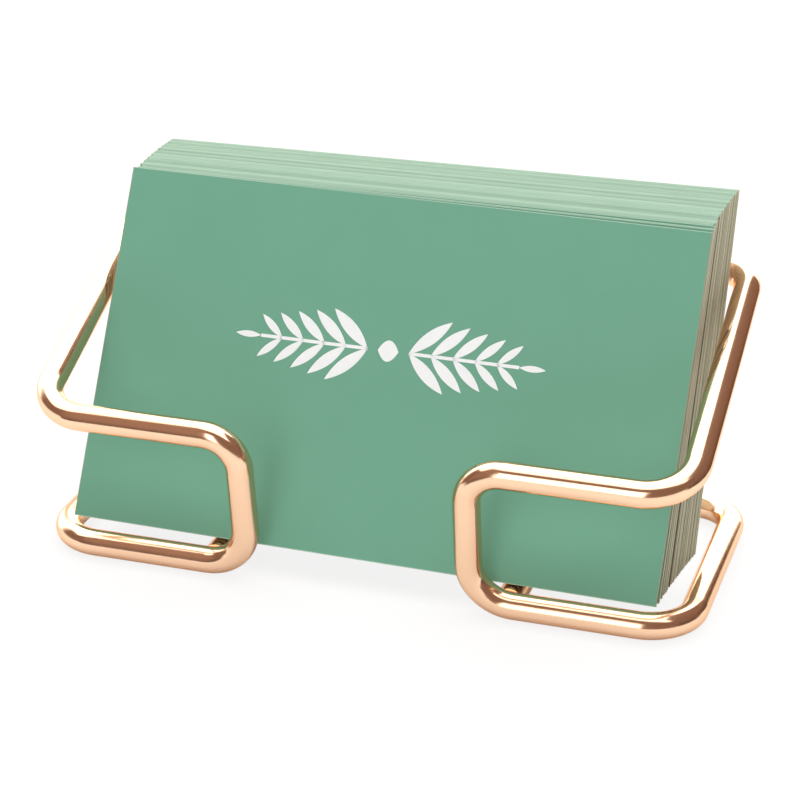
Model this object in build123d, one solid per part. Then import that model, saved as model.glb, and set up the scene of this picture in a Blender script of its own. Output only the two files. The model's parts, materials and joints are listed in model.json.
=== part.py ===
from build123d import *
import math
import os

# A desk holder bent from round wire, with a fanned deck of cards standing in it.
# X runs to the right, Y to the back and Z up, from the middle of the face that rests on the table.

# Card sizes, in millimetres
card_width = 90.0
card_height = 54.0
card_thickness = 0.25
deck_trim = 0.4

# How the cards stand: the front ones lie apart, the rest fan open towards the foot; leans are in degrees
card_count = 30
loose_count = 3
front_lean = 29.6
back_lean = 25.8
front_shift = -1.2
second_shift = -0.85
back_shift = 1.3
ragged_shift = 0.04
loose_gap = 0.12
head_gap = 0.06
rest_clearance = 0.15
foot_clearance = 0.3
side_clearance = 1.5
bar_clearance = 0.35

# The deck parts after a few cards, counted from the front, and each parting opens to the right.
# The cards before the first partings are also raised at the left, and those behind are raised ever more
# at the right; turns and rolls in degrees
partings = (1, 3, 8)
parting_gap = 0.3
front_turn = -0.3
parting_turn = 0.2
front_roll = 0.35
parting_roll = 0.175
back_roll = -0.45

# The fan opens in a few wide gaps, most of them near the front
ripple_step = 137.5
ripple_power = 3
fade_share = 0.75

# Wire frame: heights and widths over the wire, bends along its middle line
wire_diameter = 4.0
thumb_gap = 30.0
hook_height = 26.0
hook_reach = 3.1
bar_height = 43.5
floor_setback = 40.2
rest_offset = 5.6
rest_seat_share = 0.6
bar_bend = 3.6
arm_bend = 7.0
rail_bend = 5.3
post_bend = 6.5
foot_bend = 7.0
rear_bend = 6.5

wire_radius = wire_diameter / 2
frame_width = card_width + 2 * (side_clearance + wire_diameter)
side_x = frame_width / 2 - wire_radius
post_x = thumb_gap / 2 + wire_radius
rest_x = post_x + rest_offset
rail_z = hook_height - wire_radius
bar_z = bar_height - wire_radius
floor_z = wire_radius


def fan_angles():
    # How far each card leans less than the one before it, in radians
    fanned_count = card_count - 1 - loose_count
    weights = []
    for step in range(fanned_count):
        ripple = 1 + math.cos(math.radians(ripple_step * step))
        weights.append((1 - fade_share * step / fanned_count) * ripple ** ripple_power)
    whole_fan = math.radians(front_lean - back_lean)
    return [0] * loose_count + [whole_fan * weight / sum(weights) for weight in weights]


def partings_before(index):
    return sum(1 for parting in partings if parting <= index)


def card_turn(index):
    # How far a card is turned about the upright, in radians
    return math.radians(front_turn + parting_turn * partings_before(index))


def card_roll(index):
    # How far a card is turned in its own plane, left end up, in radians
    loose_roll = max(0, front_roll - parting_roll * partings_before(index))
    twist = max(0, index - loose_count) / (card_count - 1 - loose_count)
    return math.radians(loose_roll + back_roll * twist)


def card_stances():
    # Y of the middle of the lower front edge, and lean in radians, of each card from front to back
    foot = wire_radius + foot_clearance
    lean = math.radians(front_lean)
    stances = [(foot, lean)]
    for index, angle in enumerate(fan_angles()):
        gap = loose_gap if index < loose_count else head_gap
        if index + 1 in partings:
            gap = parting_gap
        spread = card_thickness + gap + card_height * math.tan(angle)
        foot += spread * (math.cos(lean) + math.sin(lean) * math.tan(lean - angle))
        # The left ends stay together, so a turn moves the middle back
        foot += card_width / 2 * (math.sin(card_turn(index + 1)) - math.sin(card_turn(index)))
        lean -= angle
        stances.append((foot, lean))
    return stances


def make_cards():
    cards = []
    for index, (foot, lean) in enumerate(card_stances()):
        depth_share = (index - 1) / (card_count - 2)
        shift = second_shift + (back_shift - second_shift) * depth_share
        shift += ragged_shift * math.sin(math.radians(ripple_step * index))
        width = card_width - deck_trim
        if index == 0:
            shift = front_shift
            width = card_width
        # A rolled card touches only one of the rests, so its middle stands higher
        roll = card_roll(index)
        base = wire_diameter + rest_clearance + card_thickness * math.sin(lean) + rest_x * math.sin(abs(roll))
        turned = Rot(0, 0, math.degrees(card_turn(index)))
        stance = turned * Rot(-math.degrees(lean), 0, 0) * Rot(0, math.degrees(roll), 0)
        blank = Pos(0, card_thickness / 2, card_height / 2) * Box(width, card_thickness, card_height)
        cards.append(Pos(shift, foot, base) * stance * blank)
    return cards


def bar_setback():
    # The back bar stands just clear of the last card, at the end that is turned furthest back
    foot, lean = card_stances()[-1]
    face_foot = foot + card_thickness * math.cos(lean)
    face = face_foot + (bar_z - wire_diameter - rest_clearance) * math.tan(lean)
    turned = card_width / 2 * math.sin(card_turn(card_count - 1))
    return face + turned + (wire_radius + bar_clearance) / math.cos(lean)


def make_right_wire():
    corners = [
        (0, bar_setback(), bar_z),
        (side_x, bar_setback(), bar_z),
        (side_x, -hook_reach, rail_z),
        (post_x, -hook_reach, rail_z),
        (post_x, 0, floor_z),
        (side_x, 0, floor_z),
        (side_x, floor_setback, floor_z),
        (0, floor_setback, floor_z),
    ]
    bends = [bar_bend, arm_bend, rail_bend, post_bend, foot_bend, rear_bend]
    path = FilletPolyline(*corners, radius=bends)
    section = Plane(origin=path @ 0, z_dir=path % 0) * Circle(wire_radius)
    wire = sweep(section, path=path)
    straight_volume = math.pi * wire_radius ** 2 * path.length
    print("wire volume over section times length:", round(wire.volume / straight_volume, 4))
    return wire


def make_right_rest(wire):
    # A straight rod whose ends are cut to sit against the foot and the rear floor bar
    start = wire_radius * rest_seat_share
    end = floor_setback - wire_radius * rest_seat_share
    section = Plane(origin=(rest_x, start, floor_z), z_dir=(0, 1, 0)) * Circle(wire_radius)
    return extrude(section, amount=end - start) - wire


def card_name(index):
    names = ["front_card", "second_card", "third_card"]
    return names[index] if index < len(names) else f"card_{index + 1:02d}"


right_wire = make_right_wire()
right_rest = make_right_rest(right_wire)
pieces = {
    "right_wire": right_wire,
    "left_wire": mirror(right_wire, about=Plane.YZ),
    "right_card_rest": right_rest,
    "left_card_rest": mirror(right_rest, about=Plane.YZ),
}
for index, card in enumerate(make_cards()):
    pieces[card_name(index)] = card

# The origin is under the middle of everything
middle = Compound(list(pieces.values())).bounding_box().center()
print("middle of the depth, from the front foot:", round(middle.Y, 4))
print("last card foot at", round(card_stances()[-1][0], 3), "back bar at", round(bar_setback(), 3))

os.makedirs("parts", exist_ok=True)
for name, piece in pieces.items():
    export_step(Pos(0, -middle.Y, 0) * piece, f"parts/{name}.step")
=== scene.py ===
import json
import math

import bmesh
import bpy
from mathutils import Matrix, Vector


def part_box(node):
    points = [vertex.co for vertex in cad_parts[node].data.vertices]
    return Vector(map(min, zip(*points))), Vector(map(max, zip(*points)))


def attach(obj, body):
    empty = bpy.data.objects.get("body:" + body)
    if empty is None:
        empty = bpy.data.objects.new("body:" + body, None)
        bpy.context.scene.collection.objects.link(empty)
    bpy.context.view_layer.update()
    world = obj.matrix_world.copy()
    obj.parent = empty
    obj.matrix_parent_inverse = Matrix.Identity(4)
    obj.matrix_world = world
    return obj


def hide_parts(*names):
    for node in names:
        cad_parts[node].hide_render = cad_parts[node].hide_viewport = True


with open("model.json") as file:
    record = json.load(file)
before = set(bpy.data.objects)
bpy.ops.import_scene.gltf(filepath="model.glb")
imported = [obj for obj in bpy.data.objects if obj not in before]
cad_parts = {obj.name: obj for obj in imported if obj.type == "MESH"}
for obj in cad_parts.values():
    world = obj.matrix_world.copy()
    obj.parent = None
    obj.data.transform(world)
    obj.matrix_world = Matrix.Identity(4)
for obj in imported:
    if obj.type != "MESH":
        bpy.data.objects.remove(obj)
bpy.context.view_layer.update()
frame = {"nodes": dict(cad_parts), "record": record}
bodies = frame["record"]["behaviour"]["bodies"]
print("frame loaded:", len(frame["nodes"]), "nodes")


# a node socket that takes part in sums, so shader maths reads as plain expressions
class Flow:
    def __init__(self, finish, socket):
        self.finish = finish
        self.socket = socket

    def maths(self, operation, first, second):
        return self.finish.add("ShaderNodeMath", {"operation": operation}, {0: first, 1: second})

    def __add__(self, other):
        return self.maths("ADD", self, other)

    def __radd__(self, other):
        return self.maths("ADD", other, self)

    def __mul__(self, other):
        return self.maths("MULTIPLY", self, other)

    def __rmul__(self, other):
        return self.maths("MULTIPLY", other, self)

    def below(self, limit):
        return self.maths("LESS_THAN", self, limit)

    def larger(self, other):
        return self.maths("MAXIMUM", self, other)


# a node tree that is filled node by node
class Finish:
    def __init__(self, tree):
        self.tree = tree
        tree.nodes.clear()

    def add(self, kind, settings=None, values=None, out=0):
        node = self.tree.nodes.new(kind)
        for name, value in (settings or {}).items():
            setattr(node, name, value)
        for name, value in (values or {}).items():
            if isinstance(value, Flow):
                self.tree.links.new(value.socket, node.inputs[name])
            else:
                node.inputs[name].default_value = value
        return Flow(self, node.outputs[out]) if node.outputs else None

    def place(self):
        return self.add("ShaderNodeTexCoord", out="Object")

    def ray(self, kind):
        return self.add("ShaderNodeLightPath", out="Is " + kind + " Ray")

    def part(self, vector, axis):
        return self.add("ShaderNodeSeparateXYZ", values={"Vector": vector}, out=axis)

    def noise(self, where, scale, detail=2.0):
        return self.add("ShaderNodeTexNoise", values={"Vector": where, "Scale": scale, "Detail": detail})

    def stretched(self, where, scale):
        return self.add("ShaderNodeMapping", values={"Vector": where, "Scale": scale})

    def blendColour(self, factor, first, second):
        settings = {"data_type": "RGBA"}
        return self.add("ShaderNodeMix", settings, {"Factor": factor, 6: first, 7: second}, out=2)

    def span(self, value, low, high, toLow=0.0, toHigh=1.0):
        settings = {"interpolation_type": "SMOOTHSTEP"}
        values = {"Value": value, "From Min": low, "From Max": high, "To Min": toLow, "To Max": toHigh}
        return self.add("ShaderNodeMapRange", settings, values)

    def bump(self, height, strength, distance):
        values = {"Height": height, "Strength": strength, "Distance": distance}
        return self.add("ShaderNodeBump", values=values)

    def surface(self, **values):
        shader = self.add("ShaderNodeBsdfPrincipled", values=values)
        self.add("ShaderNodeOutputMaterial", values={"Surface": shader})


def newMaterial(name):
    material = bpy.data.materials.new(name)
    material.use_nodes = True
    return material, Finish(material.node_tree)


# the usual curve from screen levels to linear light
def srgb(red, green, blue):
    linear = []
    for level in (red, green, blue):
        level = level / 255
        linear.append(level / 12.92 if level <= 0.04045 else ((level + 0.055) / 1.055) ** 2.4)
    return (*linear, 1.0)


def addObject(name, shape, materials):
    mesh = bpy.data.meshes.new(name)
    shape.to_mesh(mesh)
    shape.free()
    for material in materials:
        mesh.materials.append(material)
    newObject = bpy.data.objects.new(name, mesh)
    bpy.context.scene.collection.objects.link(newObject)
    return newObject


# rose-gold plating on the wires: a slow change of tint, handling smears and a few patches of tiny pits
wireLook = {
    "plate": srgb(245, 209, 178),
    "copperTint": srgb(241, 199, 165),
    "cloudScale": 55,
    "grazingTint": srgb(255, 232, 210),
    "roughness": 0.13,
    "smearScale": 320,
    "smearDetail": 4.0,
    "handling": 0.06,
    "pitTint": srgb(150, 96, 66),
    "pitScale": 160,
    "pitSize": 0.035,
    "pitDulling": 0.2,
    "patchScale": 40,
    "patchFrom": 0.52,
    "patchFull": 0.60,
    "wobble": 0.08,
    "wobbleScale": 140,
    "wobbleDepth": 0.00005,
    "smearWobble": 0.15,
}


def makeWireMaterial():
    material, finish = newMaterial("roseGoldPlating")
    where = finish.place()
    cloud = finish.noise(where, wireLook["cloudScale"])
    smear = finish.noise(where, wireLook["smearScale"], wireLook["smearDetail"])
    spots = finish.add("ShaderNodeTexVoronoi", values={"Vector": where, "Scale": wireLook["pitScale"]})
    patches = finish.noise(where, wireLook["patchScale"])
    rare = finish.span(patches, wireLook["patchFrom"], wireLook["patchFull"])
    pits = spots.below(wireLook["pitSize"]) * rare
    plate = finish.blendColour(cloud, wireLook["plate"], wireLook["copperTint"])
    plate = finish.blendColour(pits, plate, wireLook["pitTint"])
    ripple = finish.noise(where, wireLook["wobbleScale"]) + wireLook["smearWobble"] * smear
    finish.surface(**{
        "Base Color": plate,
        "Metallic": 1.0,
        "Specular Tint": wireLook["grazingTint"],
        "Roughness": wireLook["roughness"] + smear * wireLook["handling"] + pits * wireLook["pitDulling"],
        "Normal": finish.bump(ripple, wireLook["wobble"], wireLook["wobbleDepth"]),
    })
    return material


def dressWires():
    material = makeWireMaterial()
    for name in bodies["stand"]:
        wire = frame["nodes"][name]
        wire.data.materials.clear()
        wire.data.materials.append(material)


dressWires()
print("wires plated")


# card stock: printed fronts with rims painted pale, partly as the pale cut edge and partly as a painted
# highlight, bare backs and bare cut edges
cardLook = {
    "face": srgb(109, 167, 143),
    "faceShade": srgb(103, 161, 137),
    "mottleScale": 90,
    "mottleDetail": 4.0,
    "mottleShare": 0.7,
    "faceFibreScale": 5200,
    "faceFibreDetail": 3.0,
    "faceFibreBump": 0.25,
    "faceRoughness": 0.62,
    # pale rims: partly the pale paper of the rounded cut edge, partly a painted highlight of the light from
    # above
    "edgeAndHighlightRim": srgb(187, 224, 207),
    "edgeAndHighlightRimShade": srgb(160, 198, 180),
    "back": srgb(200, 196, 178),
    "backShade": srgb(190, 186, 168),
    "edge": srgb(212, 207, 184),
    "edgeShade": srgb(142, 141, 119),
    # painted shadow: the dark line where the deck parts, painted on the parted card's edge strip
    "parting": srgb(116, 112, 92),
    "partingShade": srgb(98, 95, 78),
    "streakScale": (120, 420, 120),
    "streakDetail": 3.0,
    "depthShare": 0.75,
    "paperFibreScale": 7000,
    "paperFibreBump": 0.4,
    "paperRoughness": 0.8,
    "fibreRoughness": 0.15,
    "fibreDepth": 0.00001,
    "shine": 0.3,
}
# rounded edges, narrow strips around the broad faces, and how the cards differ in tone
cardShape = {
    "weld": 0.000001,
    "flatAngle": 0.01,
    "edgeRound": 0.00004,
    "edgeSteps": 2,
    "rimWidth": 0.0001,
    "deckRimWidth": 0.0005,
    "rimTurn": 0.7,
    "longStrip": 0.05,
    "openCards": ("card_04",),
    "partedCards": ("card_09",),
    "middleDepth": 0.5,
    "depthWaves": ((0.35, 1.9, 0), (0.15, 0.8, -2)),     # size, step from card to card, start
}


def makeCardFace():
    material, finish = newMaterial("printedGreen")
    where = finish.place()
    mottle = finish.noise(where, cardLook["mottleScale"], cardLook["mottleDetail"])
    fibre = finish.noise(where, cardLook["faceFibreScale"], cardLook["faceFibreDetail"])
    blend = mottle * cardLook["mottleShare"] + fibre * (1 - cardLook["mottleShare"])
    finish.surface(**{
        "Base Color": finish.blendColour(blend, cardLook["face"], cardLook["faceShade"]),
        "Roughness": cardLook["faceRoughness"] + fibre * cardLook["fibreRoughness"],
        "Specular IOR Level": cardLook["shine"],
        "Normal": finish.bump(fibre, cardLook["faceFibreBump"], cardLook["fibreDepth"]),
    })
    return material


# bare or pale paper: every card has its own depth of tone, partly random and partly painted shade of the
# dark gaps between cards, with faint streaks in it
def makePaper(name, tone, shade):
    material, finish = newMaterial(name)
    where = finish.place()
    depth = finish.add("ShaderNodeAttribute", {"attribute_name": "shade"}, out="Fac")
    streaks = finish.noise(finish.stretched(where, cardLook["streakScale"]), 1.0, cardLook["streakDetail"])
    fibre = finish.noise(where, cardLook["paperFibreScale"])
    blend = depth * cardLook["depthShare"] + streaks * (1 - cardLook["depthShare"])
    finish.surface(**{
        "Base Color": finish.blendColour(blend, tone, shade),
        "Roughness": cardLook["paperRoughness"] + fibre * cardLook["fibreRoughness"],
        "Specular IOR Level": cardLook["shine"],
        "Normal": finish.bump(fibre, cardLook["paperFibreBump"], cardLook["fibreDepth"]),
    })
    return material


# uneven from card to card: partly random tone, partly painted shade of the gaps between cards
def shadeDepth(number):
    depth = cardShape["middleDepth"]
    for size, step, start in cardShape["depthWaves"]:
        depth += size * math.sin(step * number + start)
    return depth


def makeCard(name, body, number, materials):
    shape = bmesh.new()
    shape.from_mesh(frame["nodes"][name].data)
    shade = shape.faces.layers.float.new("shade")
    bmesh.ops.remove_doubles(shape, verts=shape.verts, dist=cardShape["weld"])
    bmesh.ops.dissolve_limit(shape, angle_limit=cardShape["flatAngle"], verts=shape.verts, edges=shape.edges)
    bmesh.ops.bevel(shape, geom=shape.edges[:], offset=cardShape["edgeRound"], offset_type="OFFSET",
                    segments=cardShape["edgeSteps"], profile=0.5, affect="EDGES", material=-1)
    bmesh.ops.recalc_face_normals(shape, faces=shape.faces)
    broad = sorted(shape.faces, key=lambda face: face.calc_area())[-2:]
    outward = broad[0].normal.copy()
    bmesh.ops.inset_region(shape, faces=broad, thickness=cardShape["rimWidth"], depth=0)
    inner = []
    if body == "deck" and name not in cardShape["openCards"]:
        inset = bmesh.ops.inset_region(shape, faces=broad, thickness=cardShape["deckRimWidth"], depth=0)
        inner = inset["faces"]
    depth = shadeDepth(number)
    printed, edgeAndHighlightRim, cut, bare, gapShadowPaint = range(len(materials))
    for face in shape.faces:                 # rims painted pale, partly the pale cut edge and partly a painted highlight, run along the top and foot of the front only
        face[shade] = depth
        spread = [vert.co.x for vert in face.verts]
        level = max(spread) - min(spread) > cardShape["longStrip"]
        if abs(face.normal.dot(outward)) < cardShape["rimTurn"]:
            face.material_index = cut
        elif face.normal.y > 0:
            face.material_index = bare
        elif level:
            face.material_index = edgeAndHighlightRim
        # the parted card's edge strip gets the painted gap shadow
        elif name in cardShape["partedCards"]:
            face.material_index = gapShadowPaint
        else:
            face.material_index = printed if face in inner else cut
    front = min(broad, key=lambda face: face.normal.y)
    front.material_index = printed
    card = addObject(name + "Stock", shape, materials)
    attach(card, body)
    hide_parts(name)


def makeCards():
    # rim strips painted pale: cut-edge paper plus painted highlight
    edgeAndHighlightRim = makePaper("paleEdgeAndHighlight", cardLook["edgeAndHighlightRim"], cardLook["edgeAndHighlightRimShade"])
    edge = makePaper("cutEdge", cardLook["edge"], cardLook["edgeShade"])
    back = makePaper("bareBack", cardLook["back"], cardLook["backShade"])
    # painted shadow of the gap where the deck parts
    gapShadowPaint = makePaper("paintedGapShadowStrip", cardLook["parting"], cardLook["partingShade"])
    materials = (makeCardFace(), edgeAndHighlightRim, edge, back, gapShadowPaint)
    count = 0
    for body, names in bodies.items():
        if body != "stand":
            for name in names:
                makeCard(name, body, count, materials)
                count += 1
    return count


print("cards made:", makeCards())


# white ink on the front card: a plain leaf ornament
inkLook = {
    "ink": srgb(238, 245, 247),
    "inkShade": srgb(230, 238, 241),
    "grainScale": 2600,
    "grainDetail": 3.0,
    "roughness": 0.5,
    "grainRoughness": 0.2,
    "thickness": 0.00002,
    "lift": 0.004,
    "halfWidth": 0.024,
    "stemWidth": 0.0005,
    "pairs": 6,
    "leafLength": 0.0080,
    "leafWidth": 0.0019,
    "leafAngle": 42,
    "leafSteps": 32,
    "taper": 0.5,
    "gap": 0.0032,
}


def makeInk():
    material, finish = newMaterial("whiteInk")
    grain = finish.noise(finish.place(), inkLook["grainScale"], inkLook["grainDetail"])
    finish.surface(**{
        "Base Color": finish.blendColour(grain, inkLook["ink"], inkLook["inkShade"]),
        "Roughness": inkLook["roughness"] + grain * inkLook["grainRoughness"],
    })
    return material


# the middle of the front card's face: X along its width, Y up its slope, Z out of it
def frontCardPlane():
    faces = frame["nodes"]["front_card"].data.polygons
    face = max((face for face in faces if face.normal.y < 0), key=lambda face: face.area)
    low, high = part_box("front_card")
    outward = face.normal.copy()
    upward = (Vector((0, 0, 1)) - outward * outward.z).normalized()
    across = upward.cross(outward)
    middle = (low + high) / 2
    middle += outward * (face.center - middle).dot(outward)
    return Matrix.Translation(middle) @ Matrix((across, upward, outward)).transposed().to_4x4()


def addLeaf(shape, root, length, width, angle):
    steps = inkLook["leafSteps"]
    leaf = bmesh.ops.create_circle(shape, cap_ends=True, radius=1.0, segments=steps)["verts"]
    for vert in leaf:
        vert.co.y *= abs(vert.co.y)          # pointed at both ends
    sizes = Matrix.Diagonal((length / 2, width / 2, 1, 1))
    turn = Matrix.Rotation(math.radians(angle), 4, "Z")
    move = Matrix.Translation(root) @ turn @ Matrix.Translation((length / 2, 0, 0)) @ sizes
    bmesh.ops.transform(shape, matrix=move, verts=leaf)


def makeOrnament():
    shape = bmesh.new()
    stemLength = inkLook["halfWidth"] - inkLook["gap"] - inkLook["leafLength"] * inkLook["taper"]
    for pair in range(inkLook["pairs"]):
        share = pair / (inkLook["pairs"] - 1)
        size = 1 - (1 - inkLook["taper"]) * share
        root = (inkLook["gap"] + stemLength * share, 0, 0)
        angles = (0,) if share == 1 else (inkLook["leafAngle"], -inkLook["leafAngle"])
        for angle in angles:
            addLeaf(shape, root, inkLook["leafLength"] * size, inkLook["leafWidth"] * size, angle)
    stem = bmesh.ops.create_grid(shape, x_segments=1, y_segments=1, size=0.5)["verts"]
    bmesh.ops.scale(shape, vec=(stemLength, inkLook["stemWidth"], 1), verts=stem)
    bmesh.ops.translate(shape, vec=(inkLook["gap"] + stemLength / 2, 0, 0), verts=stem)
    bmesh.ops.mirror(shape, geom=shape.verts[:] + shape.edges[:] + shape.faces[:], axis="X", merge_dist=0)
    addLeaf(shape, (-inkLook["gap"] / 2, 0, 0), inkLook["gap"], inkLook["gap"], 0)     # bud in the middle
    bmesh.ops.recalc_face_normals(shape, faces=shape.faces)
    top = bmesh.ops.extrude_face_region(shape, geom=shape.faces[:])["geom"]
    topVerts = [item for item in top if isinstance(item, bmesh.types.BMVert)]
    bmesh.ops.translate(shape, vec=(0, 0, inkLook["thickness"]), verts=topVerts)
    bmesh.ops.recalc_face_normals(shape, faces=shape.faces)
    place = frontCardPlane() @ Matrix.Translation((0, inkLook["lift"], 0))
    bmesh.ops.transform(shape, matrix=place, verts=shape.verts)
    ornament = addObject("frontCardInk", shape, (makeInk(),))
    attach(ornament, "front_card")


makeOrnament()
print("ornament printed")


# studio: white floor, a room that is brown in front and white behind, soft lamps and dark boards
studio = {
    "floorSize": 6.0,
    "floorColour": (0.80, 0.80, 0.80, 1.0),
    "floorGlow": 0.85,
    "floorShine": 0.2,
    "white": (1.0, 1.0, 1.0, 1.0),
    "roomColour": (0.26, 0.17, 0.13, 1.0),
    "whiteFrom": -0.05,
    "whiteFull": 0.35,
    "leftGlare": 2.5,
    "glareFull": -0.7,
    "glareFrom": -0.6,
    "flagColour": (0.20, 0.12, 0.09, 1.0),
    "flagDeep": (0.07, 0.04, 0.027, 1.0),
    "flagFoot": 0.06,
    "flagRoughness": 0.9,
}
lamps = [
    {"name": "overhead", "place": (-0.10, 0.40, 0.85), "aim": (-0.10, 0.40, 0.0),
     "size": (1.75, 1.60), "watts": 19.0},
    {"name": "front", "place": (-0.12, -0.95, 0.39), "aim": (0.0, 0.0, 0.1),
     "size": (0.42, 0.72), "watts": 2.4},
    {"name": "back", "place": (0.0, 1.25, 0.36), "aim": (0.0, 0.0, 0.1),
     "size": (1.40, 0.70), "watts": 7.0},
]
flags = [
    {"name": "rightFlag", "azimuth": 118, "distance": 0.135, "along": -0.05, "width": 0.20, "height": 0.30},
    {"name": "frontFlag", "azimuth": -34, "distance": 0.15, "along": 0.0, "width": 0.10, "height": 0.30},
]


def makeFloor():
    shape = bmesh.new()
    bmesh.ops.create_grid(shape, x_segments=1, y_segments=1, size=studio["floorSize"] / 2)
    material, finish = newMaterial("paleFloor")
    mirrored = finish.ray("Glossy").larger(finish.ray("Transmission"))
    seen = finish.ray("Camera") * studio["floorGlow"] + mirrored * studio["floorShine"]
    matt = finish.add("ShaderNodeBsdfDiffuse", values={"Color": studio["floorColour"]})
    glow = finish.add("ShaderNodeEmission", values={"Color": studio["white"], "Strength": 1.0})
    mixed = finish.add("ShaderNodeMixShader", values={0: seen, 1: matt, 2: glow})
    finish.add("ShaderNodeOutputMaterial", values={"Surface": mixed})
    addObject("floor", shape, (material,))


def makeRoom():
    world = bpy.data.worlds.new("room")
    world.use_nodes = True
    finish = Finish(world.node_tree)
    heading = finish.add("ShaderNodeTexCoord", out="Generated")
    white = finish.span(finish.part(heading, "Y"), studio["whiteFrom"], studio["whiteFull"])
    colour = finish.blendColour(white.larger(finish.ray("Camera")), studio["roomColour"], studio["white"])
    # the wires reflect a brighter white from the far left
    left = finish.span(finish.part(heading, "X"), studio["glareFull"], studio["glareFrom"], 1.0, 0.0)
    strength = finish.ray("Glossy") * left * white * studio["leftGlare"] + 1.0
    shader = finish.add("ShaderNodeBackground", values={"Color": colour, "Strength": strength})
    finish.add("ShaderNodeOutputWorld", values={"Surface": shader})
    bpy.context.scene.world = world


def makeLamp(settings):
    light = bpy.data.lights.new(settings["name"], "AREA")
    light.shape = "RECTANGLE"
    light.size, light.size_y = settings["size"]
    light.energy = settings["watts"]
    lamp = bpy.data.objects.new(settings["name"], light)
    bpy.context.scene.collection.objects.link(lamp)
    lamp.location = settings["place"]
    sight = Vector(settings["aim"]) - Vector(settings["place"])
    lamp.rotation_euler = sight.to_track_quat("-Z", "Y").to_euler()
    lamp.visible_camera = False


# dark boards that only the polished wire reflects
def makeFlag(settings, material):
    shape = bmesh.new()
    board = bmesh.ops.create_grid(shape, x_segments=1, y_segments=1, size=0.5)["verts"]
    bmesh.ops.scale(shape, vec=(settings["width"], settings["height"], 1), verts=board)
    upright = Matrix.Rotation(math.radians(90), 4, "X")
    move = Matrix.Translation((settings["along"], -settings["distance"], settings["height"] / 2))
    turn = Matrix.Rotation(math.radians(settings["azimuth"]), 4, "Z")
    bmesh.ops.transform(shape, matrix=turn @ move @ upright, verts=board)
    flag = addObject(settings["name"], shape, (material,))
    flag.visible_camera = False
    flag.visible_diffuse = False
    flag.visible_shadow = False


def makeFlags():
    material, finish = newMaterial("darkBoard")
    lit = finish.span(finish.part(finish.place(), "Z"), 0.0, studio["flagFoot"])       # darkest at the foot
    colour = finish.blendColour(lit, studio["flagDeep"], studio["flagColour"])
    finish.surface(**{"Base Color": colour, "Roughness": studio["flagRoughness"]})
    for settings in flags:
        makeFlag(settings, material)


makeFloor()
makeRoom()
for settings in lamps:
    makeLamp(settings)
makeFlags()
print("studio ready:", len(lamps), "lamps")


# camera at the photograph's angle
view = {
    "azimuth": 17.68,
    "elevation": 24.024,
    "place": (0.0998, -0.31125, 0.1689),
    "lens": 108.13,
    "sensor": 36.0,
}


def makeCamera():
    data = bpy.data.cameras.new("camera")
    data.lens = view["lens"]
    data.sensor_width = view["sensor"]
    camera = bpy.data.objects.new("camera", data)
    bpy.context.scene.collection.objects.link(camera)
    camera.location = view["place"]
    camera.rotation_euler = (math.radians(90 - view["elevation"]), 0, math.radians(view["azimuth"]))
    bpy.context.scene.camera = camera


makeCamera()
bpy.context.scene.view_settings.view_transform = "Standard"
